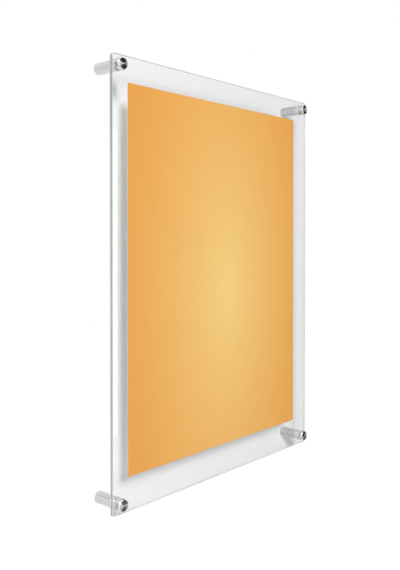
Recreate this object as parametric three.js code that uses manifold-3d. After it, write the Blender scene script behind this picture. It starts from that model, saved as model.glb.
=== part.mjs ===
// A wall-mounted acrylic photo frame. A print lies between two clear sheets, and four metal standoffs, one
// near each corner, hold the sheets off the wall. Each standoff is a barrel that a wood screw and a plug
// fix to the wall, and a round cap whose threaded stud passes through both sheets into the barrel.
// Units are millimetres. Seen from the front, X runs to the right and Z up, and Y runs into the wall.
// The origin is on the wall, behind the middle of the sheets.
import * as THREE from "three";
import { mergeVertices } from "three/addons/utils/BufferGeometryUtils.js";
import Module from "manifold-3d";

const wasm = await Module();
wasm.setup();

// The print, 18 x 24 in, and the clear borders around it. It lies a little left of and above the middle.
const PRINT_WIDTH = 457.2;
const PRINT_HEIGHT = 609.6;
const PRINT_THICKNESS = 0.3;
const BORDER_LEFT = 32.4;
const BORDER_RIGHT = 42.4;
const BORDER_TOP = 39.8;
const BORDER_BOTTOM = 52.6;

// The clear sheets
const SHEET_THICKNESS = 3;
const SHEET_CORNER_RADIUS = 4;
const SHEET_EDGE_BEVEL = 0.3;
const STANDOFF_FROM_SIDE = 14.5;
const STANDOFF_FROM_END = 15.5;
const STUD_HOLE_DIAMETER = 9;

// Barrels, which stand on the wall
const BARREL_DIAMETER = 19;
const BARREL_LENGTH = 41.3;
const BARREL_FLOOR = 4;
const BARREL_BEVEL = 0.6;
const BORE_CHAMFER = 0.5;
const SCREW_HOLE_DIAMETER = 5;

// Clear washers, one on each side of the sheets
const WASHER_DIAMETER = 18;
const WASHER_THICKNESS = 1;

// Caps and their M8 studs
const CAP_DIAMETER = 20;
const CAP_THICKNESS = 7.5;
const CAP_FRONT_BEVEL = 1.3;
const CAP_BACK_BEVEL = 0.4;
const CAP_CENTRE_DIAMETER = 1.8;
const CAP_CENTRE_DEPTH = 0.6;
const STUD_DIAMETER = 8;
const STUD_IN_CAP = 4.5;
const STUD_IN_BARREL = 12.5;
const STUD_CHAMFER = 1;

// Pan-head wood screws and wall plugs
const SCREW_HEAD_DIAMETER = 8;
const SCREW_HEAD_HEIGHT = 3;
const SCREW_HEAD_ROUNDING = 1.2;
const SCREW_SHANK_DIAMETER = 4.2;
const SCREW_LENGTH = 38;
const SCREW_TIP_LENGTH = 5;
const RECESS_SPAN = 4.4;
const RECESS_SLOT = 1.1;
const RECESS_DEPTH = 1.8;
const PLUG_DIAMETER = 8;
const PLUG_BELOW_WALL_FACE = 2.2;
const PLUG_LENGTH = 35;
const PLUG_END = 2;
const PLUG_RIB_HEIGHT = 0.6;
const PLUG_RIB_COUNT = 5;
const PLUG_RIB_PITCH = 4;
const PLUG_COLLAR_LENGTH = 9;
const PLUG_SLIT_WIDTH = 1.2;

// Clearances: between flat faces that press together, and between round pieces that fit in holes
const FACE_GAP = 0.1;
const FIT_GAP = 0.3;

const ROUND_SIDES = 40;
const SMALL_SIDES = 24;
const PLUG_SIDES = 16;
const CORNER_STEPS = 6;

// Sizes that follow. Depths are distances in front of the wall.
const SHEET_WIDTH = BORDER_LEFT + PRINT_WIDTH + BORDER_RIGHT;
const SHEET_HEIGHT = BORDER_BOTTOM + PRINT_HEIGHT + BORDER_TOP;
const PRINT_X = (BORDER_LEFT - BORDER_RIGHT) / 2;
const PRINT_Z = (BORDER_BOTTOM - BORDER_TOP) / 2;
const STANDOFF_X = SHEET_WIDTH / 2 - STANDOFF_FROM_SIDE;
const STANDOFF_Z = SHEET_HEIGHT / 2 - STANDOFF_FROM_END;
const BORE_DIAMETER = STUD_DIAMETER + 2 * FIT_GAP;
const REAR_WASHER_BACK = BARREL_LENGTH + FACE_GAP;
const REAR_SHEET_BACK = REAR_WASHER_BACK + WASHER_THICKNESS + FACE_GAP;
const PRINT_BACK = REAR_SHEET_BACK + SHEET_THICKNESS + FACE_GAP;
const FRONT_SHEET_BACK = PRINT_BACK + PRINT_THICKNESS + FACE_GAP;
const FRONT_WASHER_BACK = FRONT_SHEET_BACK + SHEET_THICKNESS + FACE_GAP;
const CAP_BACK = FRONT_WASHER_BACK + WASHER_THICKNESS + FACE_GAP;
const SCREW_HEAD_BACK = BARREL_FLOOR + FACE_GAP;

const acrylic = new THREE.MeshStandardMaterial({
  color: 0xeef3f3,
  roughness: 0.05,
  metalness: 0,
  transparent: true,
  opacity: 0.25,
});
const printed = new THREE.MeshStandardMaterial({ color: 0xecb05a, roughness: 0.8, metalness: 0 });
const satinMetal = new THREE.MeshStandardMaterial({ color: 0xcfcfcf, roughness: 0.35, metalness: 1 });
const chrome = new THREE.MeshStandardMaterial({ color: 0xdedede, roughness: 0.12, metalness: 1 });
const steel = new THREE.MeshStandardMaterial({ color: 0xb4b6b8, roughness: 0.3, metalness: 1 });
const nylon = new THREE.MeshStandardMaterial({ color: 0xf2f2ee, roughness: 0.3, metalness: 0 });
const plugPlastic = new THREE.MeshStandardMaterial({ color: 0x8f9396, roughness: 0.6, metalness: 0 });

// A closed surface as a solid that can be cut
function toSolid(geometry) {
  const bare = geometry.clone();
  bare.deleteAttribute("normal");
  bare.deleteAttribute("uv");
  const merged = mergeVertices(bare, 1e-4);
  return new wasm.Manifold(
    new wasm.Mesh({
      numProp: 3,
      vertProperties: merged.attributes.position.array,
      triVerts: new Uint32Array(merged.index.array),
    }),
  );
}

function toGeometry(solid) {
  const mesh = solid.getMesh();
  const geometry = new THREE.BufferGeometry();
  geometry.setAttribute("position", new THREE.BufferAttribute(mesh.vertProperties, 3));
  geometry.setIndex(new THREE.BufferAttribute(mesh.triVerts, 1));
  geometry.computeVertexNormals();
  return geometry;
}

function cut(geometry, ...tools) {
  let solid = toSolid(geometry);
  for (const tool of tools) solid = solid.subtract(toSolid(tool));
  return toGeometry(solid);
}

// A turned piece. Each point is a radius and a depth in front of the wall, in order from the axis at the
// back, out and forward, to the axis at the front. A ring's outline goes on round its bore and closes.
function turned(points, sides) {
  const outline = points.map(([radius, depth]) => new THREE.Vector2(radius, -depth));
  if (points[0][0] > 0) outline.push(outline[0].clone());
  outline.reverse();
  return new THREE.LatheGeometry(outline, sides);
}

function place(geometry, material, name, x, z) {
  const mesh = new THREE.Mesh(geometry, material);
  mesh.name = name;
  mesh.position.set(x, 0, z);
  return mesh;
}

// A flat piece parallel to the wall: its outline is drawn as seen from the front
function plate(outline, thickness, back, bevel) {
  const settings = {
    depth: thickness - 2 * bevel,
    curveSegments: CORNER_STEPS,
    bevelEnabled: bevel > 0,
    bevelThickness: bevel,
    bevelSize: bevel,
    bevelOffset: -bevel,
    bevelSegments: 1,
  };
  const geometry = new THREE.ExtrudeGeometry(outline, settings);
  geometry.rotateX(Math.PI / 2);
  geometry.translate(0, -back - bevel, 0);
  return geometry;
}

function roundedRectangle(width, height, radius) {
  const outline = new THREE.Shape();
  const x = width / 2 - radius;
  const z = height / 2 - radius;
  outline.absarc(x, z, radius, 0, Math.PI / 2);
  outline.absarc(-x, z, radius, Math.PI / 2, Math.PI);
  outline.absarc(-x, -z, radius, Math.PI, 1.5 * Math.PI);
  outline.absarc(x, -z, radius, 1.5 * Math.PI, 2 * Math.PI);
  outline.closePath();
  return outline;
}

const corners = [
  { name: "top_left", x: -STANDOFF_X, z: STANDOFF_Z },
  { name: "top_right", x: STANDOFF_X, z: STANDOFF_Z },
  { name: "bottom_left", x: -STANDOFF_X, z: -STANDOFF_Z },
  { name: "bottom_right", x: STANDOFF_X, z: -STANDOFF_Z },
];

function sheet(back) {
  const outline = roundedRectangle(SHEET_WIDTH, SHEET_HEIGHT, SHEET_CORNER_RADIUS);
  const radius = STUD_HOLE_DIAMETER / 2;
  const drills = corners.map((corner) => {
    const drill = new THREE.CylinderGeometry(radius, radius, 3 * SHEET_THICKNESS, SMALL_SIDES);
    return drill.translate(corner.x, -back - SHEET_THICKNESS / 2, corner.z);
  });
  return cut(plate(outline, SHEET_THICKNESS, back, SHEET_EDGE_BEVEL), ...drills);
}

function printSheet() {
  const outline = new THREE.Shape();
  outline.moveTo(-PRINT_WIDTH / 2, -PRINT_HEIGHT / 2);
  outline.lineTo(PRINT_WIDTH / 2, -PRINT_HEIGHT / 2);
  outline.lineTo(PRINT_WIDTH / 2, PRINT_HEIGHT / 2);
  outline.lineTo(-PRINT_WIDTH / 2, PRINT_HEIGHT / 2);
  outline.closePath();
  return plate(outline, PRINT_THICKNESS, PRINT_BACK, 0);
}

// A tube with a floor at the wall. The screw goes through the floor, and the bore takes the stud.
function barrel() {
  const outer = BARREL_DIAMETER / 2;
  const bore = BORE_DIAMETER / 2;
  const hole = SCREW_HOLE_DIAMETER / 2;
  return turned(
    [
      [hole, 0],
      [outer - BARREL_BEVEL, 0],
      [outer, BARREL_BEVEL],
      [outer, BARREL_LENGTH - BARREL_BEVEL],
      [outer - BARREL_BEVEL, BARREL_LENGTH],
      [bore + BORE_CHAMFER, BARREL_LENGTH],
      [bore, BARREL_LENGTH - BORE_CHAMFER],
      [bore, BARREL_FLOOR],
      [hole, BARREL_FLOOR],
    ],
    ROUND_SIDES,
  );
}

function washer(back) {
  const outer = WASHER_DIAMETER / 2;
  const hole = BORE_DIAMETER / 2;
  return turned(
    [
      [hole, back],
      [outer, back],
      [outer, back + WASHER_THICKNESS],
      [hole, back + WASHER_THICKNESS],
    ],
    SMALL_SIDES,
  );
}

// A solid disc with a bevelled face, a lathe centre in the middle of it, and a socket for the stud
function cap() {
  const outer = CAP_DIAMETER / 2;
  const socket = BORE_DIAMETER / 2;
  const front = CAP_BACK + CAP_THICKNESS;
  const socketEnd = CAP_BACK + STUD_IN_CAP + FACE_GAP;
  return turned(
    [
      [0, socketEnd],
      [socket, socketEnd],
      [socket, CAP_BACK],
      [outer - CAP_BACK_BEVEL, CAP_BACK],
      [outer, CAP_BACK + CAP_BACK_BEVEL],
      [outer, front - CAP_FRONT_BEVEL],
      [outer - CAP_FRONT_BEVEL, front],
      [CAP_CENTRE_DIAMETER / 2, front],
      [0, front - CAP_CENTRE_DEPTH],
    ],
    ROUND_SIDES,
  );
}

function stud() {
  const radius = STUD_DIAMETER / 2;
  const back = BARREL_LENGTH - STUD_IN_BARREL;
  const front = CAP_BACK + STUD_IN_CAP;
  return turned(
    [
      [0, back],
      [radius - STUD_CHAMFER, back],
      [radius, back + STUD_CHAMFER],
      [radius, front - STUD_CHAMFER],
      [radius - STUD_CHAMFER, front],
      [0, front],
    ],
    SMALL_SIDES,
  );
}

// The head stands in the barrel on its floor, and the shank runs back into the plug
function wallScrew() {
  const head = SCREW_HEAD_DIAMETER / 2;
  const shank = SCREW_SHANK_DIAMETER / 2;
  const headFront = SCREW_HEAD_BACK + SCREW_HEAD_HEIGHT;
  const tip = SCREW_HEAD_BACK - SCREW_LENGTH;
  const body = turned(
    [
      [0, tip],
      [shank, tip + SCREW_TIP_LENGTH],
      [shank, SCREW_HEAD_BACK],
      [head, SCREW_HEAD_BACK],
      [head, headFront - SCREW_HEAD_ROUNDING],
      [head - SCREW_HEAD_ROUNDING, headFront],
      [0, headFront],
    ],
    SMALL_SIDES,
  );
  const slotAcross = new THREE.BoxGeometry(RECESS_SPAN, 2 * RECESS_DEPTH, RECESS_SLOT);
  slotAcross.translate(0, -headFront, 0);
  const slotUp = new THREE.BoxGeometry(RECESS_SLOT, 2 * RECESS_DEPTH, RECESS_SPAN);
  slotUp.translate(0, -headFront, 0);
  return cut(body, slotAcross, slotUp);
}

// A plastic plug, pushed in just below the wall's face: a plain collar, ribs behind it, and a slit that
// lets it spread
function wallPlug() {
  const ribbed = PLUG_DIAMETER / 2;
  const core = ribbed - PLUG_RIB_HEIGHT;
  const bore = SCREW_SHANK_DIAMETER / 2 + FIT_GAP;
  const front = -PLUG_BELOW_WALL_FACE;
  const back = front - PLUG_LENGTH;
  const collarBack = front - PLUG_COLLAR_LENGTH;
  const points = [
    [0, back],
    [core, back],
  ];
  for (let rib = PLUG_RIB_COUNT; rib > 0; rib -= 1) {
    const foot = collarBack - rib * PLUG_RIB_PITCH;
    points.push([core, foot], [ribbed, foot + PLUG_RIB_PITCH / 2], [core, foot + PLUG_RIB_PITCH / 2]);
  }
  points.push([core, collarBack], [ribbed, collarBack], [ribbed, front], [bore, front]);
  points.push([bore, back + PLUG_END], [0, back + PLUG_END]);
  const slitLength = PLUG_LENGTH - PLUG_COLLAR_LENGTH - PLUG_RIB_PITCH;
  const slit = new THREE.BoxGeometry(PLUG_SLIT_WIDTH, slitLength, 2 * PLUG_DIAMETER);
  slit.translate(0, slitLength / 2 - collarBack, 0);
  return cut(turned(points, PLUG_SIDES), slit);
}

const frame = new THREE.Group();
frame.name = "acrylic_photo_frame";
frame.add(place(sheet(REAR_SHEET_BACK), acrylic, "rear_panel", 0, 0));
frame.add(place(printSheet(), printed, "print_sheet", PRINT_X, PRINT_Z));
frame.add(place(sheet(FRONT_SHEET_BACK), acrylic, "front_panel", 0, 0));

const standoffPieces = [
  ["barrel", barrel(), satinMetal],
  ["rear_washer", washer(REAR_WASHER_BACK), nylon],
  ["front_washer", washer(FRONT_WASHER_BACK), nylon],
  ["cap", cap(), chrome],
  ["stud", stud(), steel],
  ["wall_screw", wallScrew(), steel],
  ["wall_plug", wallPlug(), plugPlastic],
];
for (const corner of corners) {
  const standoff = new THREE.Group();
  standoff.name = "standoff_" + corner.name;
  standoff.position.set(corner.x, 0, corner.z);
  for (const [name, geometry, material] of standoffPieces) {
    standoff.add(place(geometry, material.clone(), name + "_" + corner.name, 0, 0));
  }
  frame.add(standoff);
}

export default frame;
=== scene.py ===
import math
import bmesh
import bpy
from mathutils import Matrix, Vector


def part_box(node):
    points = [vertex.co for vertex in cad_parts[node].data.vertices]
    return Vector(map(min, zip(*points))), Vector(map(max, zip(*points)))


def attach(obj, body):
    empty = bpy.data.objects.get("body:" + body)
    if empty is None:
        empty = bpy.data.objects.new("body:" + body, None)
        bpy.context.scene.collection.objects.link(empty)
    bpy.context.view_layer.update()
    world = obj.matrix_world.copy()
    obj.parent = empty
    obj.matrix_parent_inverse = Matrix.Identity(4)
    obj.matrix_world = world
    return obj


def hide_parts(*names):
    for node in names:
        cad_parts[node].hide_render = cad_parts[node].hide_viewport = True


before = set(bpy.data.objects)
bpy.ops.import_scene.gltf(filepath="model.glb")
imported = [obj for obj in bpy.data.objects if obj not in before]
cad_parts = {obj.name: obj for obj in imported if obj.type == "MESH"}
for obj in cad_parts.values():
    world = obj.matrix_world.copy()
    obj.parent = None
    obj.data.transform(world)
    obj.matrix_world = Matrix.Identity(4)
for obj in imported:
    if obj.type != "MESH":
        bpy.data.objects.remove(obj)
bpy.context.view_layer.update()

# The camera stands in front of the frame's left side, a little above its middle, and looks almost
# level. Its place, turn and lens come from the outlines of the sheets and the print in the photo.
IMAGE_HEIGHT = 570
FOCAL_PIXELS = 700.0
MIDDLE_ROW = 285.0
EYE_ROW = 247.32
SENSOR = 36.0
CAMERA_SPOT = (-0.97355, -0.84100, 0.07094)
CAMERA_DIP = 0.711
CAMERA_TURN = -48.886
camera_data = bpy.data.cameras.new("camera")
camera_data.sensor_width = SENSOR
camera_data.lens = FOCAL_PIXELS * SENSOR / IMAGE_HEIGHT
camera_data.shift_y = (EYE_ROW - MIDDLE_ROW) / IMAGE_HEIGHT
camera_data.clip_start = 0.01
camera_data.clip_end = 100
camera = bpy.data.objects.new("camera", camera_data)
camera.location = CAMERA_SPOT
camera.rotation_euler = (math.radians(90 - CAMERA_DIP), 0, math.radians(CAMERA_TURN))
bpy.context.scene.collection.objects.link(camera)
bpy.context.scene.camera = camera


# The two clear sheets are 3 mm cast acrylic, sawn to size, with polished edges and rounded corners.
# A laser-cut hole near each corner lets a stud through. The sheets are alike, one on each side of
# the print, so one function makes both, each where its CAD node lies.
MM = 0.001
HOLE_RADIUS = 4.5 * MM
HOLE_MARGIN = 2.5 * MM
HOLE_STEPS = 64
CORNER_RADIUS = 4 * MM
CORNER_STEPS = 8
EDGE_ROUNDING = 0.3 * MM
SHEET_CREASE = 20
SHARED = 1e-6
NEARLY = 1e-5
ACRYLIC_INDEX = 1.49
# The edges' grey is painted shade, because a polished acrylic edge has no grey of its own. On the
# left-hand edges it deepens into a painted shadow in the gap between the sheets, and into darker
# painted shade higher up.
BETWEEN_SHEETS = -46 * MM
GAP_SHADOW_REACH = 2 * MM
LEFT_EDGE_FROM, LEFT_EDGE_TO = -265.5 * MM, -262 * MM
PALER_BELOW, DARKER_ABOVE = -350 * MM, 50 * MM
GAP_PAINTED_SHADOW, LOW_PAINTED_SHADE, HIGH_PAINTED_SHADE, OTHER_EDGES_PAINTED_SHADE = 0.03, 0.71, 0.54, 0.70


class Wire:
    """A socket in a material's nodes. Arithmetic on it adds the Math nodes for it."""

    def __init__(self, tree, socket):
        self.tree = tree
        self.socket = socket

    @classmethod
    def add(cls, tree, kind, settings=None, inputs=None, output=0):
        """Adds a node of any other kind, and gives back one of its outputs."""
        node = tree.nodes.new("ShaderNode" + kind)
        for name, value in (settings or {}).items():
            setattr(node, name, value)
        for name, value in (inputs or {}).items():
            if isinstance(value, Wire):
                tree.links.new(value.socket, node.inputs[name])
            else:
                node.inputs[name].default_value = value
        return cls(tree, node.outputs[output])

    def maths(self, operation, first, second):
        return Wire.add(self.tree, "Math", {"operation": operation}, {0: first, 1: second})

    def __add__(self, other):
        return self.maths("ADD", self, other)

    def __sub__(self, other):
        return self.maths("SUBTRACT", self, other)

    def __rsub__(self, other):
        return self.maths("SUBTRACT", other, self)

    def __mul__(self, other):
        return self.maths("MULTIPLY", self, other)

    __radd__ = __add__
    __rmul__ = __mul__


def new_material(name):
    material = bpy.data.materials.new(name)
    material.use_nodes = True
    material.node_tree.nodes.clear()
    return material, material.node_tree


def finish_material(tree, surface):
    output = tree.nodes.new("ShaderNodeOutputMaterial")
    tree.links.new(surface.socket, output.inputs["Surface"])


def place_of(tree):
    return Wire.add(tree, "TexCoord", output="Object")


def blended(tree, share, first, second):
    """A colour between two, by a share from 0 to 1."""
    names = {"Factor": share, "A": first, "B": second}
    mix = Wire.add(tree, "Mix", {"data_type": "RGBA"}, None, output="Result").socket.node
    for socket in mix.inputs:
        if socket.name in names and socket.enabled:
            value = names[socket.name]
            if isinstance(value, Wire):
                tree.links.new(value.socket, socket)
            else:
                socket.default_value = value
    return Wire(tree, next(socket for socket in mix.outputs if socket.enabled))


def grey(level):
    return (level, level, level, 1)


def new_piece(name, bm, materials, body, slot, *nodes, crease=32, rounded=False):
    """Makes a piece of a bmesh, smooth between its sharp edges, and gives it to the frame."""
    mesh = bpy.data.meshes.new(name)
    bm.to_mesh(mesh)
    bm.free()
    for material in materials:
        mesh.materials.append(material)
    for face in mesh.polygons:
        face.use_smooth = True
    mesh.set_sharp_from_angle(angle=math.radians(crease))
    piece = bpy.data.objects.new(name, mesh)
    bpy.context.scene.collection.objects.link(piece)
    if rounded:
        piece.modifiers.new("flat faces stay flat", "WEIGHTED_NORMAL").keep_sharp = True
    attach(piece, body)
    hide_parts(*nodes)
    return piece


def soften(bm, width, segments=2, sharper_than=30):
    """Rounds every edge where the faces meet at more than the given angle."""
    limit = math.radians(sharper_than)
    edges = [e for e in bm.edges if e.is_manifold and e.calc_face_angle(0) > limit]
    bmesh.ops.bevel(bm, geom=edges, offset=width, offset_type="OFFSET", segments=segments,
                    profile=0.5, affect="EDGES", clamp_overlap=True, material=-1)


def middle(node):
    low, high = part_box(node)
    return (Vector(low) + Vector(high)) / 2


CORNERS = ("top_left", "top_right", "bottom_left", "bottom_right")
standoff = {corner: middle("barrel_" + corner) for corner in CORNERS}


def acrylic_material():
    material, tree = new_material("clear_acrylic")
    place = place_of(tree)
    wisps = Wire.add(tree, "TexNoise", None, {"Vector": place, "Scale": 6.0, "Detail": 2.0})
    tint = blended(tree, wisps, grey(0.990), grey(0.998))
    glass = Wire.add(tree, "BsdfPrincipled", None, {
        "Base Color": tint, "Roughness": 0.0, "IOR": ACRYLIC_INDEX, "Transmission Weight": 1.0})
    clear = Wire.add(tree, "BsdfTransparent", None, {"Color": grey(0.99)})
    shadow = Wire.add(tree, "LightPath", output="Is Shadow Ray")
    diffuse = Wire.add(tree, "LightPath", output="Is Diffuse Ray")
    both = Wire.add(tree, "MixShader", None, {0: shadow + diffuse, 1: glass, 2: clear})
    finish_material(tree, both)
    return material


def acrylic_edge_material():
    """Pale grey as painted shade; on the left-hand edges, a painted shadow towards the gap and more
    shade higher up.
    """
    material, tree = new_material("polished_acrylic_edge_painted_shade")
    place = place_of(tree)
    up = Wire.add(tree, "SeparateXYZ", None, {"Vector": place}, output="Z")
    out = Wire.add(tree, "SeparateXYZ", None, {"Vector": place}, output="Y")
    right = Wire.add(tree, "SeparateXYZ", None, {"Vector": place}, output="X")
    height = Wire.add(tree, "MapRange", None, {
        "Value": up, "From Min": PALER_BELOW, "From Max": DARKER_ABOVE})
    side = Wire.add(tree, "MapRange", None, {
        "Value": right, "From Min": LEFT_EDGE_FROM, "From Max": LEFT_EDGE_TO})
    away = Wire.add(tree, "Math", {"operation": "ABSOLUTE"}, {0: out - BETWEEN_SHEETS})
    depth = Wire.add(tree, "MapRange", None, {
        "Value": away, "From Min": 0.0, "From Max": GAP_SHADOW_REACH})
    saw = Wire.add(tree, "TexNoise", None, {"Vector": place, "Scale": 900.0, "Detail": 1.0})
    # Painted shade: darker higher up, a painted shadow at the gap, and one grey for the other edges.
    outer = blended(tree, height, grey(LOW_PAINTED_SHADE), grey(HIGH_PAINTED_SHADE))
    left = blended(tree, depth, grey(GAP_PAINTED_SHADOW), outer)
    shade = blended(tree, side, left, grey(OTHER_EDGES_PAINTED_SHADE))
    skin = Wire.add(tree, "BsdfPrincipled", None, {
        "Base Color": shade, "Roughness": saw * 0.12 + 0.08, "IOR": ACRYLIC_INDEX, "Alpha": 0.9})
    finish_material(tree, skin)
    return material


def sheet_mesh(back, front, width, height, holes):
    """A sheet with a hole near each corner: one quarter, made outwards from its hole, mirrored."""
    bm = bmesh.new()
    x, z = abs(holes.x), abs(holes.z)
    ring = bmesh.ops.create_circle(bm, cap_ends=False, radius=HOLE_RADIUS, segments=HOLE_STEPS)
    bmesh.ops.rotate(bm, verts=ring["verts"], matrix=Matrix.Rotation(math.pi / 2, 3, "X"))
    spokes = bmesh.ops.extrude_edge_only(bm, edges=bm.edges[:])
    reach = HOLE_RADIUS + HOLE_MARGIN
    for vertex in (v for v in spokes["geom"] if isinstance(v, bmesh.types.BMVert)):
        longest = max(abs(vertex.co.x), abs(vertex.co.z))
        vertex.co *= reach / longest
    bmesh.ops.translate(bm, verts=bm.verts[:], vec=(x, back, z))
    for axis, start, end in ((0, x + reach, width / 2), (0, x - reach, 0),
                             (2, z + reach, height / 2), (2, z - reach, 0)):
        rim = [e for e in bm.edges if e.is_boundary
               and all(abs(v.co[axis] - start) < SHARED for v in e.verts)]
        made = bmesh.ops.extrude_edge_only(bm, edges=rim)
        for vertex in (v for v in made["geom"] if isinstance(v, bmesh.types.BMVert)):
            vertex.co[axis] = end
    for axis in ("X", "Z"):
        bmesh.ops.mirror(bm, geom=bm.verts[:] + bm.edges[:] + bm.faces[:],
                         matrix=Matrix.Identity(4), merge_dist=SHARED, axis=axis)
    bmesh.ops.remove_doubles(bm, verts=bm.verts[:], dist=SHARED)
    region = bmesh.ops.extrude_face_region(bm, geom=bm.faces[:], use_keep_orig=True)
    moved = [v for v in region["geom"] if isinstance(v, bmesh.types.BMVert)]
    bmesh.ops.translate(bm, verts=moved, vec=(0, front - back, 0))
    bmesh.ops.recalc_face_normals(bm, faces=bm.faces[:])
    corners = [e for e in bm.edges if all(
        abs(abs(v.co.x) - width / 2) < SHARED and abs(abs(v.co.z) - height / 2) < SHARED
        for v in e.verts)]
    bmesh.ops.bevel(bm, geom=corners, offset=CORNER_RADIUS, offset_type="OFFSET",
                    segments=CORNER_STEPS, profile=0.5, affect="EDGES", clamp_overlap=True,
                    material=-1)
    soften(bm, EDGE_ROUNDING, 2, 60)
    for face in bm.faces:
        face.material_index = 0 if abs(face.normal.y) > 0.999 else 1
    return bm


acrylic = acrylic_material()
acrylic_edge = acrylic_edge_material()
for node, name in (("rear_panel", "rear_sheet"), ("front_panel", "front_sheet")):
    low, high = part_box(node)
    bm = sheet_mesh(high[1], low[1], high[0] - low[0], high[2] - low[2], standoff["top_right"])
    new_piece(name, bm, [acrylic, acrylic_edge], node, "acrylic", node, crease=SHEET_CREASE)


# The print is one sheet of satin photo paper, held flat between the clear sheets by nothing else.
# Its front is a plain warm orange, paler towards the middle and a little stronger to the right,
# which is painted light that makes up for the lamp lighting the left side more. Its back is bare
# white.
# The left and right colours differ only as painted light: the right is a little stronger, to even
# out the lamp's fall-off across the print.
PRINT_LEFT = (0.765, 0.308, 0.046, 1)
PRINT_RIGHT_PAINTED_LIGHT = (0.830, 0.330, 0.043, 1)
PRINT_MIDDLE = (0.93, 0.65, 0.225, 1)
PRINT_STRIPS = 24
PRINT_SIDE = 0.23
GLOW_SPOT = (0.012, -0.0459, -0.020)
GLOW_SPAN = (0.445, 1.0, 0.95)


def print_material():
    material, tree = new_material("orange_print")
    place = place_of(tree)
    centred = Wire.add(tree, "Mapping", {"vector_type": "TEXTURE"}, {
        "Vector": place, "Location": GLOW_SPOT, "Scale": GLOW_SPAN})
    glow = Wire.add(tree, "TexGradient", {"gradient_type": "QUADRATIC_SPHERE"}, {"Vector": centred},
                    output="Fac")
    right = Wire.add(tree, "SeparateXYZ", None, {"Vector": place}, output="X")
    share = Wire.add(tree, "MapRange", None, {
        "Value": right, "From Min": -PRINT_SIDE, "From Max": PRINT_SIDE})
    colour = blended(tree, glow, blended(tree, share, PRINT_LEFT, PRINT_RIGHT_PAINTED_LIGHT), PRINT_MIDDLE)
    tooth = Wire.add(tree, "TexNoise", None, {"Vector": place, "Scale": 1500.0, "Detail": 2.0})
    bump = Wire.add(tree, "Bump", None, {"Strength": 0.05, "Distance": 0.00005, "Height": tooth})
    ink = Wire.add(tree, "BsdfPrincipled", None, {
        "Base Color": colour, "Roughness": tooth * 0.1 + 0.45, "Specular IOR Level": 0.3,
        "Normal": bump})
    finish_material(tree, ink)
    return material


def paper_material():
    material, tree = new_material("paper_back")
    place = place_of(tree)
    fibres = Wire.add(tree, "TexNoise", None, {"Vector": place, "Scale": 700.0, "Detail": 4.0})
    colour = blended(tree, fibres, (0.82, 0.82, 0.80, 1), (0.88, 0.88, 0.87, 1))
    bump = Wire.add(tree, "Bump", None, {"Strength": 0.1, "Distance": 0.00005, "Height": fibres})
    paper = Wire.add(tree, "BsdfPrincipled", None, {
        "Base Color": colour, "Roughness": fibres * 0.1 + 0.8, "Normal": bump})
    finish_material(tree, paper)
    return material


low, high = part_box("print_sheet")
bm = bmesh.new()
bmesh.ops.create_grid(bm, x_segments=PRINT_STRIPS, y_segments=PRINT_STRIPS, size=0.5)
bmesh.ops.rotate(bm, verts=bm.verts[:], matrix=Matrix.Rotation(math.pi / 2, 3, "X"))
bmesh.ops.scale(bm, verts=bm.verts[:], vec=(high[0] - low[0], 1, high[2] - low[2]))
bmesh.ops.translate(bm, verts=bm.verts[:],
                    vec=((high[0] + low[0]) / 2, high[1], (high[2] + low[2]) / 2))
region = bmesh.ops.extrude_face_region(bm, geom=bm.faces[:], use_keep_orig=True)
moved = [v for v in region["geom"] if isinstance(v, bmesh.types.BMVert)]
bmesh.ops.translate(bm, verts=moved, vec=(0, low[1] - high[1], 0))
bmesh.ops.recalc_face_normals(bm, faces=bm.faces[:])
for face in bm.faces:
    face.material_index = 0 if face.normal.y < -0.9 else 1
new_piece("printed_paper", bm, [print_material(), paper_material()], "print", "print",
          "print_sheet")


# The four barrels are turned aluminium tubes with a satin finish, brushed along their length. Each
# stands on the wall on its floor, which a wood screw holds. Its tapped bore takes the cap's stud.
BARREL_STEPS = 96
BARREL_ROUNDING = 0.35 * MM
BARREL_FLOOR = 4 * MM
SCREW_HOLE_RADIUS = 2.5 * MM
BORE_RADIUS = 4.3 * MM
TAP_PITCH = 1.25 * MM
ONE_WAVE = 0.314
HAIRS = (2600.0, 60.0, 2600.0)
# The wide bands are painted reflection: paler and darker stripes that stand in for the lit and
# shaded wall mirrored in each barrel. The fine hairs are the brushing's own grain.
HAIR_SHARE, PAINTED_REFLECTION_SHARE = 0.2, 0.8
PAINTED_REFLECTION_BANDS = (300.0, 4.0, 300.0)
PAINTED_REFLECTION_START = (3.0, 0.0, 0.0)
PAINTED_REFLECTION_LOW, PAINTED_REFLECTION_HIGH = 0.38, 0.62
GRAIN_AND_PAINTED_REFLECTION_DARK, GRAIN_AND_PAINTED_REFLECTION_PALE = 0.78, 1.16


def turned(points, steps):
    """A piece turned round Y. Each point is a radius and a distance in front of the wall."""
    bm = bmesh.new()
    outline = [bm.verts.new((radius, -depth, 0)) for radius, depth in points]
    for first, second in zip(outline, outline[1:]):
        bm.edges.new((first, second))
    if points[0][0] > 0:
        bm.edges.new((outline[-1], outline[0]))
    bmesh.ops.spin(bm, geom=bm.verts[:] + bm.edges[:], cent=(0, 0, 0), axis=(0, 1, 0),
                   dvec=(0, 0, 0), angle=2 * math.pi, steps=steps, use_merge=True,
                   use_normal_flip=False, use_duplicate=False)
    bmesh.ops.remove_doubles(bm, verts=bm.verts[:], dist=1e-7)
    bmesh.ops.recalc_face_normals(bm, faces=bm.faces[:])
    return bm


def put_at(bm, corner):
    spot = standoff[corner]
    bmesh.ops.translate(bm, verts=bm.verts[:], vec=(spot.x, 0, spot.z))
    return bm


def depths(node):
    """How far a node's back and front lie in front of the wall."""
    low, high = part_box(node)
    return -high[1], -low[1]


def across(node):
    low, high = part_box(node)
    return high[0] - low[0]


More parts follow.
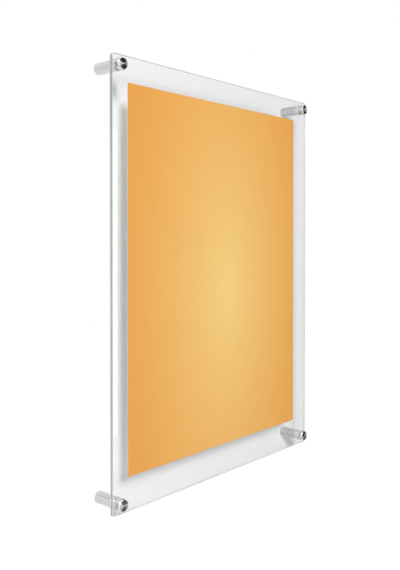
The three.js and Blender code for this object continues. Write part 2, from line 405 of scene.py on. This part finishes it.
def brushed_material(name, level, roughness):
    """Metal with fine hairs along Y, and under them wider paler and darker bands of painted
    reflection.
    """
    material, tree = new_material(name)
    place = place_of(tree)
    along = Wire.add(tree, "Mapping", None, {"Vector": place, "Scale": HAIRS})
    hairs = Wire.add(tree, "TexNoise", None, {"Vector": along, "Scale": 1.0, "Detail": 3.0})
    wide = Wire.add(tree, "Mapping", None, {
        "Vector": place, "Location": PAINTED_REFLECTION_START, "Scale": PAINTED_REFLECTION_BANDS})
    noise = Wire.add(tree, "TexNoise", None, {"Vector": wide, "Scale": 1.0, "Detail": 1.0})
    bands = Wire.add(tree, "MapRange", None, {
        "Value": noise, "From Min": PAINTED_REFLECTION_LOW, "From Max": PAINTED_REFLECTION_HIGH})
    colour = blended(tree, hairs * HAIR_SHARE + bands * PAINTED_REFLECTION_SHARE, grey(level * GRAIN_AND_PAINTED_REFLECTION_DARK),
                     grey(level * GRAIN_AND_PAINTED_REFLECTION_PALE))
    bump = Wire.add(tree, "Bump", None, {"Strength": 0.15, "Distance": 0.00002, "Height": hairs})
    metal = Wire.add(tree, "BsdfPrincipled", None, {
        "Base Color": colour, "Metallic": 1.0, "Roughness": hairs * 0.06 + roughness,
        "Normal": bump})
    finish_material(tree, metal)
    return material


def tapped_material():
    """Metal with one wave along Y for each turn of the thread, darker in each hollow as painted
    shade.
    """
    material, tree = new_material("tapped_bore")
    place = place_of(tree)
    waves = Wire.add(tree, "TexWave", {"bands_direction": "Y"}, {
        "Vector": place, "Scale": ONE_WAVE / TAP_PITCH, "Distortion": 0.0})
    bump = Wire.add(tree, "Bump", None, {"Strength": 0.8, "Distance": 0.0004, "Height": waves})
    # Painted shade: the colour is darker where the bump is low, in the thread's hollows.
    colour = blended(tree, waves, grey(0.30), grey(0.62))
    metal = Wire.add(tree, "BsdfPrincipled", None, {
        "Base Color": colour, "Metallic": 1.0, "Roughness": waves * 0.1 + 0.3, "Normal": bump})
    finish_material(tree, metal)
    return material


barrel_metal = brushed_material("satin_aluminium", 0.64, 0.12)
bore_metal = tapped_material()
for corner in CORNERS:
    node = "barrel_" + corner
    back, front = depths(node)
    outer = across(node) / 2
    bm = turned([(SCREW_HOLE_RADIUS, back), (outer, back), (outer, front), (BORE_RADIUS, front),
                 (BORE_RADIUS, BARREL_FLOOR), (SCREW_HOLE_RADIUS, BARREL_FLOOR)], BARREL_STEPS)
    for face in bm.faces:
        spot = face.calc_center_median()
        inside = math.hypot(spot.x, spot.z) < BORE_RADIUS + NEARLY
        face.material_index = 1 if inside and abs(face.normal.y) < 0.5 else 0
    soften(bm, BARREL_ROUNDING, 3)
    new_piece("standoff_" + node, put_at(bm, corner), [barrel_metal, bore_metal], "wall_side",
              "barrel_metal", node, rounded=True)


# Eight clear nylon washers keep metal off the acrylic: one behind and one in front of the sheets at
# each standoff. They are punched from 1 mm sheet, with slightly rounded rims.
WASHER_STEPS = 64
WASHER_ROUNDING = 0.15 * MM


def nylon_material():
    material, tree = new_material("clear_nylon")
    place = place_of(tree)
    milk = Wire.add(tree, "TexNoise", None, {"Vector": place, "Scale": 300.0, "Detail": 2.0})
    colour = blended(tree, milk, (0.90, 0.90, 0.88, 1), (0.97, 0.97, 0.95, 1))
    nylon = Wire.add(tree, "BsdfPrincipled", None, {
        "Base Color": colour, "Roughness": milk * 0.1 + 0.3, "IOR": 1.53,
        "Transmission Weight": 0.4})
    finish_material(tree, nylon)
    return material


nylon = nylon_material()
for corner in CORNERS:
    for side, body in (("rear", "wall_side"), ("front", "washer_" + corner)):
        node = side + "_washer_" + corner
        back, front = depths(node)
        outer = across(node) / 2
        bm = turned([(BORE_RADIUS, back), (outer, back), (outer, front), (BORE_RADIUS, front)],
                    WASHER_STEPS)
        soften(bm, WASHER_ROUNDING)
        new_piece("clear_" + node, put_at(bm, corner), [nylon], body, "washer", node, rounded=True)


# The four caps are turned brass discs, chrome plated, polished in front and satin round the side.
# The lathe left fine rings and a small centre mark in each face, and a wide bevel runs round its
# rim. Each ring has a broad flank that faces outwards and a narrow one that faces inwards.
CAP_STEPS = 128
CAP_BEVEL = 1.3 * MM
CENTRE_RADIUS = 0.9 * MM
CENTRE_DEPTH = 0.6 * MM
RING_COUNT = 15
RING_SLOPE = 0.07
OUTWARD = 0.7
RING_CREASE = 3.5
CAP_ROUNDING = 0.2 * MM
CAP_SHARP = 35
SOCKET_DEPTH = 4.6 * MM


def chrome_material(name, level, roughness):
    material, tree = new_material(name)
    place = place_of(tree)
    smears = Wire.add(tree, "TexNoise", None, {"Vector": place, "Scale": 160.0, "Detail": 3.0})
    colour = blended(tree, smears, grey(level * 0.95), grey(level * 1.05))
    metal = Wire.add(tree, "BsdfPrincipled", None, {
        "Base Color": colour, "Metallic": 1.0, "Roughness": smears * 0.06 + roughness})
    finish_material(tree, metal)
    return material


# The side's chrome is a darker copy of the face's chrome. Its darkness is painted shade that stands
# in for the darker surroundings it mirrors; it is also rougher, as satin.
chrome = chrome_material("polished_chrome", 0.84, 0.05)
side_chrome_painted_shade = chrome_material("side_chrome_painted_shade", 0.6, 0.12)
for corner in CORNERS:
    node = "cap_" + corner
    back, front = depths(node)
    outer = across(node) / 2
    points = [(0, back + SOCKET_DEPTH), (BORE_RADIUS, back + SOCKET_DEPTH), (BORE_RADIUS, back),
              (outer, back), (outer, front - CAP_BEVEL)]
    rim = outer - CAP_BEVEL
    pitch = (rim - CENTRE_RADIUS) / RING_COUNT
    climb = RING_SLOPE * OUTWARD * pitch
    fall = RING_SLOPE * (1 - OUTWARD) * pitch
    for ring in range(RING_COUNT):
        radius = rim - ring * pitch
        foot = front - climb - (climb - fall) * (RING_COUNT - 1 - ring)
        points += [(radius, foot), (radius - OUTWARD * pitch, foot + climb)]
    points += [(CENTRE_RADIUS, front - fall), (0, front - CENTRE_DEPTH)]
    bm = turned(points, CAP_STEPS)
    for face in bm.faces:
        spot = face.calc_center_median()
        face.material_index = 1 if math.hypot(spot.x, spot.z) > outer - NEARLY else 0
    soften(bm, CAP_ROUNDING, 3, CAP_SHARP)
    new_piece("standoff_" + node, put_at(bm, corner), [chrome, side_chrome_painted_shade], node, "cap_metal",
              node, crease=RING_CREASE)


# Each cap's stud is an M8 rod of zinc-plated steel with a rolled thread. It runs back from the cap
# through the front washer, both sheets and the rear washer into the barrel's tapped bore.
THREAD_STEPS = 32
STUD_PITCH = 1.25 * MM
STUD_ROOT = 3.4 * MM


def threaded(crest, root, pitch, back, front):
    """A right-hand thread round Y from one depth to another, cut square and closed at both ends."""
    bm = bmesh.new()
    points = [(root, 0), (crest, 0.42), (crest, 0.55), (root, 0.95), (root, 1)]
    line = [bm.verts.new((radius, share * pitch, 0)) for radius, share in points]
    for first, second in zip(line, line[1:]):
        bm.edges.new((first, second))
    turns = math.ceil((front - back) / pitch) + 2
    bmesh.ops.spin(bm, geom=bm.verts[:] + bm.edges[:], cent=(0, 0, 0), axis=(0, 1, 0),
                   dvec=(0, pitch / THREAD_STEPS, 0), angle=turns * 2 * math.pi,
                   steps=turns * THREAD_STEPS, use_merge=False, use_normal_flip=False,
                   use_duplicate=False)
    bmesh.ops.remove_doubles(bm, verts=bm.verts[:], dist=1e-7)
    bmesh.ops.translate(bm, verts=bm.verts[:], vec=(0, -front - pitch, 0))
    for depth, way in ((back, 1), (front, -1)):
        cut = bmesh.ops.bisect_plane(bm, geom=bm.verts[:] + bm.edges[:] + bm.faces[:], dist=1e-8,
                                     plane_co=(0, -depth, 0), plane_no=(0, way, 0),
                                     clear_outer=True, clear_inner=False)
        edges = [e for e in cut["geom_cut"] if isinstance(e, bmesh.types.BMEdge)]
        bmesh.ops.holes_fill(bm, edges=edges, sides=0)
    bmesh.ops.recalc_face_normals(bm, faces=bm.faces[:])
    return bm


def plated_material(name, level, roughness):
    material, tree = new_material(name)
    place = place_of(tree)
    spangle = Wire.add(tree, "TexNoise", None, {"Vector": place, "Scale": 420.0, "Detail": 3.0})
    colour = blended(tree, spangle, (level * 0.9, level * 0.91, level * 0.93, 1),
                     (level * 1.06, level * 1.06, level * 1.04, 1))
    metal = Wire.add(tree, "BsdfPrincipled", None, {
        "Base Color": colour, "Metallic": 1.0, "Roughness": spangle * 0.15 + roughness})
    finish_material(tree, metal)
    return material


stud_metal = plated_material("zinc_plated_stud", 0.55, 0.22)
for corner in CORNERS:
    node = "stud_" + corner
    back, front = depths(node)
    bm = threaded(across(node) / 2, STUD_ROOT, STUD_PITCH, back, front)
    new_piece("threaded_" + node, put_at(bm, corner), [stud_metal], "cap_" + corner, "stud_metal",
              node)


# A pan-head wood screw of zinc-plated steel holds each barrel. Its head, with a cross recess, stands
# on the barrel's floor, and its coarse thread narrows to a point inside the wall plug.
SCREW_PITCH = 1.8 * MM
SCREW_CORE = 1.45 * MM
SCREW_TIP = 6 * MM
HEAD_HEIGHT = 3 * MM
HEAD_ROUNDING = 1.2 * MM
CROSS_SPAN = 4.4 * MM
CROSS_SLOT = 1.1 * MM
CROSS_DEPTH = 1.8 * MM
CROSS_TAPER = 0.8
HEAD_STEPS = 48
SCREW_CREASE = 25
SHANK_RADIUS = 2.1 * MM
POINT_SHARE = 0.02
LEVEL = 0.99


def screw_head(back, front, radius):
    """A domed disc whose flat top is cut along the cross, and the cross pushed in."""
    bm = turned([(0, back), (radius, back), (radius, front - HEAD_ROUNDING),
                 (radius - HEAD_ROUNDING * 0.25, front - HEAD_ROUNDING * 0.4),
                 (radius - HEAD_ROUNDING, front), (0, front)], HEAD_STEPS)
    for axis in (0, 2):
        for offset in (-CROSS_SPAN / 2, -CROSS_SLOT / 2, CROSS_SLOT / 2, CROSS_SPAN / 2):
            top = [f for f in bm.faces if f.normal.y < -LEVEL]
            parts = (top + list({e for f in top for e in f.edges})
                     + list({v for f in top for v in f.verts}))
            point, way = Vector((0, 0, 0)), Vector((0, 0, 0))
            point[axis], way[axis] = offset, 1
            bmesh.ops.bisect_plane(bm, geom=parts, dist=1e-8, plane_co=point, plane_no=way)
    cross = []
    for face in bm.faces:
        spot = face.calc_center_median()
        narrow, wide = sorted((abs(spot.x), abs(spot.z)))
        if face.normal.y < -LEVEL and narrow < CROSS_SLOT / 2 and wide < CROSS_SPAN / 2:
            cross.append(face)
    pushed = bmesh.ops.extrude_face_region(bm, geom=cross)
    moved = [v for v in pushed["geom"] if isinstance(v, bmesh.types.BMVert)]
    bmesh.ops.delete(bm, geom=cross, context="FACES")
    bmesh.ops.translate(bm, verts=moved, vec=(0, CROSS_DEPTH, 0))
    for vertex in moved:
        vertex.co.x *= CROSS_TAPER
        vertex.co.z *= CROSS_TAPER
    return bm


screw_metal = plated_material("zinc_plated_screw", 0.62, 0.2)
for corner in CORNERS:
    node = "wall_screw_" + corner
    tip, front = depths(node)
    neck = front - HEAD_HEIGHT
    bm = threaded(SHANK_RADIUS, SCREW_CORE, SCREW_PITCH, tip, neck)
    for vertex in bm.verts:
        share = min(1.0, max(POINT_SHARE, (-vertex.co.y - tip) / SCREW_TIP))
        vertex.co.x *= share
        vertex.co.z *= share
    shank = bpy.data.meshes.new("shank")
    bm.to_mesh(shank)
    bm.free()
    bm = screw_head(neck, front, across(node) / 2)
    bm.from_mesh(shank)
    bpy.data.meshes.remove(shank)
    bmesh.ops.recalc_face_normals(bm, faces=bm.faces[:])
    new_piece("zinc_" + node, put_at(bm, corner), [screw_metal], "wall_side", "screw_metal", node,
              crease=SCREW_CREASE)


# The wall plugs are moulded from grey plastic. Behind a plain collar near the wall's face each has
# ribs and a slit along both sides, so that the screw spreads its two halves in the hole.
PLUG_CORE = 3.4 * MM
PLUG_BORE = 2.4 * MM
PLUG_COLLAR = 9 * MM
PLUG_RIBS = 5
RIB_PITCH = 4 * MM
SLIT_HALF = 0.6 * MM
PLUG_ROUNDING = 0.2 * MM
COLLAR_STEPS = 48
HALF_STEPS = 24


def plug_material():
    material, tree = new_material("grey_plug_plastic")
    place = place_of(tree)
    grain = Wire.add(tree, "TexNoise", None, {"Vector": place, "Scale": 900.0, "Detail": 3.0})
    colour = blended(tree, grain, (0.24, 0.25, 0.26, 1), (0.32, 0.33, 0.34, 1))
    bump = Wire.add(tree, "Bump", None, {"Strength": 0.15, "Distance": 0.00005, "Height": grain})
    plastic = Wire.add(tree, "BsdfPrincipled", None, {
        "Base Color": colour, "Roughness": grain * 0.15 + 0.45, "Normal": bump})
    finish_material(tree, plastic)
    return material


def plug_half(points, first, last):
    """A wall turned part of the way round Y from one angle to another, closed at both ends."""
    bm = bmesh.new()
    outline = [bm.verts.new((radius, -depth, 0)) for radius, depth in points]
    wall = bm.faces.new(outline)
    bmesh.ops.rotate(bm, verts=bm.verts[:], cent=(0, 0, 0), matrix=Matrix.Rotation(first, 3, "Y"))
    bmesh.ops.spin(bm, geom=[wall] + bm.verts[:] + bm.edges[:], cent=(0, 0, 0), axis=(0, 1, 0),
                   dvec=(0, 0, 0), angle=last - first, steps=HALF_STEPS, use_merge=False,
                   use_normal_flip=False, use_duplicate=False)
    bmesh.ops.recalc_face_normals(bm, faces=bm.faces[:])
    return bm


plug_plastic = plug_material()
for corner in CORNERS:
    node = "wall_plug_" + corner
    back, front = depths(node)
    outer = across(node) / 2
    collar = front - PLUG_COLLAR
    bm = turned([(PLUG_BORE, front), (PLUG_BORE, collar), (outer, collar), (outer, front)],
                COLLAR_STEPS)
    soften(bm, PLUG_ROUNDING)
    points = [(PLUG_BORE, collar), (PLUG_CORE, collar)]
    for rib in range(1, PLUG_RIBS + 1):
        foot = collar - rib * RIB_PITCH
        points += [(PLUG_CORE, foot + RIB_PITCH / 2), (outer, foot + RIB_PITCH / 2),
                   (PLUG_CORE, foot)]
    points += [(PLUG_CORE, back), (PLUG_BORE, back)]
    away = math.asin(SLIT_HALF / PLUG_CORE)
    for turn in (0, math.pi):
        half = plug_half(points, turn + away, turn + math.pi - away)
        shell = bpy.data.meshes.new("shell")
        half.to_mesh(shell)
        half.free()
        bm.from_mesh(shell)
        bpy.data.meshes.remove(shell)
    new_piece("plastic_" + node, put_at(bm, corner), [plug_plastic], "wall_side", "plug", node)


# The stage: a white wall that only its front side shows, a pale floor well below the frame, one
# soft lamp up on the left, and a white sky. A dark board with two flaps, and a mat before it, stand
# to the right only for what the polished metal and the acrylic mirror.
WHITE = grey(1.0)
KEY_WAY = Vector((-0.56, -1.0, 0.59)).normalized()
KEY_DISTANCE = 10.0
KEY_WIDTH = 1.9
KEY_HEIGHT = 2.8
KEY_WATTS = 862
SKY_LIGHT = 0.27
WALL_WIDTH, WALL_HEIGHT, WALL_MIDDLE = 8, 4, 0.5
WALL_GAP = 0.0005
WALL_PAINT = 0.98
FLOOR_SIZE = 24
FLOOR_DROP = 1.5
FLOOR_PAINT = 0.72
FADE_FROM, FADE_TO = 2.0, 11.0
NEAR_FLOOR_GLOW = 0.35
WALL_GLOW = 0.24
MIRRORED_GLOW = 0.8
BOUNCED_GLOW = 0.12
BOARD_LEFT, BOARD_RIGHT = 1.419, 3.85
BOARD_FOOT, BOARD_TOP = -1.37, 2.6
FLAP_LEFT = 1.08
UPPER_FLAP_FOOT, LOWER_FLAP_TOP = 0.62, -0.92
BOARD_AWAY = 1.9
BLACK, DARK_GREY = 0.02, 0.11
MAT_EDGE = 1.0
MAT_LIFT = 0.01


def stage_plane(name, width, height, matrix, material):
    bm = bmesh.new()
    bmesh.ops.create_grid(bm, x_segments=1, y_segments=1, size=0.5)
    bmesh.ops.scale(bm, verts=bm.verts[:], vec=(width, height, 1))
    bmesh.ops.transform(bm, verts=bm.verts[:], matrix=matrix)
    mesh = bpy.data.meshes.new(name)
    bm.to_mesh(mesh)
    bm.free()
    mesh.materials.append(material)
    plane = bpy.data.objects.new(name, mesh)
    bpy.context.scene.collection.objects.link(plane)
    return plane


def seen(tree, *rays):
    """1 for a ray of any kind named, 0 for the others. A ray can be of two kinds."""
    total = Wire.add(tree, "LightPath", output="Is " + rays[0] + " Ray")
    for ray in rays[1:]:
        one = Wire.add(tree, "LightPath", output="Is " + ray + " Ray")
        total = Wire.add(tree, "Math", {"operation": "MAXIMUM"}, {0: total, 1: one})
    return total


def wall_material():
    """White in front, but paint where a sheet shows it or a bounce lights it, and open behind."""
    material, tree = new_material("white_wall")
    paint = Wire.add(tree, "BsdfDiffuse", None, {"Color": grey(WALL_PAINT)})
    white = Wire.add(tree, "Emission", None, {"Color": WHITE, "Strength": 1.0})
    gone = Wire.add(tree, "BsdfTransparent", None, {"Color": WHITE})
    through = seen(tree, "Transmission")
    mirrored = seen(tree, "Glossy") * (1 - through)
    lit = (seen(tree, "Camera") + through * WALL_GLOW + mirrored * MIRRORED_GLOW
           + seen(tree, "Diffuse") * BOUNCED_GLOW)
    front = Wire.add(tree, "MixShader", None, {0: lit, 1: paint, 2: white})
    behind = Wire.add(tree, "NewGeometry", output="Backfacing")
    both = Wire.add(tree, "MixShader", None, {0: behind, 1: front, 2: gone})
    finish_material(tree, both)
    return material


def floor_material():
    """Pale paint, white in the picture itself, and whiter with distance in what mirrors it."""
    material, tree = new_material("pale_floor")
    paint = Wire.add(tree, "BsdfDiffuse", None, {"Color": grey(FLOOR_PAINT)})
    white = Wire.add(tree, "Emission", None, {"Color": WHITE, "Strength": 1.0})
    through = seen(tree, "Transmission")
    mirrored = seen(tree, "Glossy") * (1 - through)
    away = Wire.add(tree, "VectorMath", {"operation": "LENGTH"}, {0: place_of(tree)},
                    output="Value")
    fade = Wire.add(tree, "MapRange", None, {
        "Value": away, "From Min": FADE_FROM, "From Max": FADE_TO, "To Min": NEAR_FLOOR_GLOW})
    lit = seen(tree, "Camera", "Transmission") + mirrored * fade
    finish_material(tree, Wire.add(tree, "MixShader", None, {0: lit, 1: paint, 2: white}))
    return material


def board_material(name, level):
    """Dark for a ray that something has mirrored, and not there for one that came straight."""
    material, tree = new_material(name)
    felt = Wire.add(tree, "BsdfDiffuse", None, {"Color": grey(level)})
    gone = Wire.add(tree, "BsdfTransparent", None, {"Color": WHITE})
    mirrored = Wire.add(tree, "LightPath", output="Glossy Depth")
    shown = Wire.add(tree, "Math", {"operation": "MINIMUM"}, {0: mirrored, 1: 1.0})
    finish_material(tree, Wire.add(tree, "MixShader", None, {0: shown, 1: gone, 2: felt}))
    return material


def only_mirrored(plane):
    plane.visible_camera = False
    plane.visible_diffuse = False
    plane.visible_shadow = False


wall_turn = Matrix.Rotation(math.pi / 2, 4, "X")
spot = Matrix.Translation((0, WALL_GAP, WALL_MIDDLE))
stage_plane("wall", WALL_WIDTH, WALL_HEIGHT, spot @ wall_turn, wall_material())
spot = Matrix.Translation((0, 0, -FLOOR_DROP))
stage_plane("floor", FLOOR_SIZE, FLOOR_SIZE, spot, floor_material())
black_felt = board_material("black_felt", BLACK)
grey_felt = board_material("grey_felt", DARK_GREY)
for name, felt, left, right, foot, top in (
        ("dark_board", black_felt, BOARD_LEFT, BOARD_RIGHT, BOARD_FOOT, BOARD_TOP),
        ("upper_flap", black_felt, FLAP_LEFT, BOARD_LEFT, UPPER_FLAP_FOOT, BOARD_TOP),
        ("lower_flap", grey_felt, FLAP_LEFT, BOARD_LEFT, BOARD_FOOT, LOWER_FLAP_TOP)):
    spot = Matrix.Translation(((left + right) / 2, -BOARD_AWAY, (foot + top) / 2))
    only_mirrored(stage_plane(name, right - left, top - foot, spot @ wall_turn, felt))
spot = Matrix.Translation(((FLAP_LEFT + BOARD_RIGHT) / 2, -(MAT_EDGE + BOARD_AWAY) / 2,
                           MAT_LIFT - FLOOR_DROP))
only_mirrored(stage_plane("dark_mat", BOARD_RIGHT - FLAP_LEFT, BOARD_AWAY - MAT_EDGE, spot,
                          grey_felt))

lamp_data = bpy.data.lights.new("key", "AREA")
lamp_data.shape = "RECTANGLE"
lamp_data.size = KEY_WIDTH
lamp_data.size_y = KEY_HEIGHT
lamp_data.energy = KEY_WATTS
lamp = bpy.data.objects.new("key", lamp_data)
lamp.location = KEY_WAY * KEY_DISTANCE
lamp.rotation_euler = KEY_WAY.to_track_quat("Z", "Y").to_euler()
bpy.context.scene.collection.objects.link(lamp)

world = bpy.data.worlds.new("studio")
bpy.context.scene.world = world
world.use_nodes = True
world.node_tree.nodes.clear()
sky = world.node_tree
shown = seen(sky, "Camera", "Glossy", "Transmission")
strength = shown * (1 - SKY_LIGHT) + SKY_LIGHT
backdrop = Wire.add(sky, "Background", None, {"Color": WHITE, "Strength": strength})
sky_output = sky.nodes.new("ShaderNodeOutputWorld")
sky.links.new(backdrop.socket, sky_output.inputs["Surface"])

bpy.context.scene.view_settings.view_transform = "Standard"
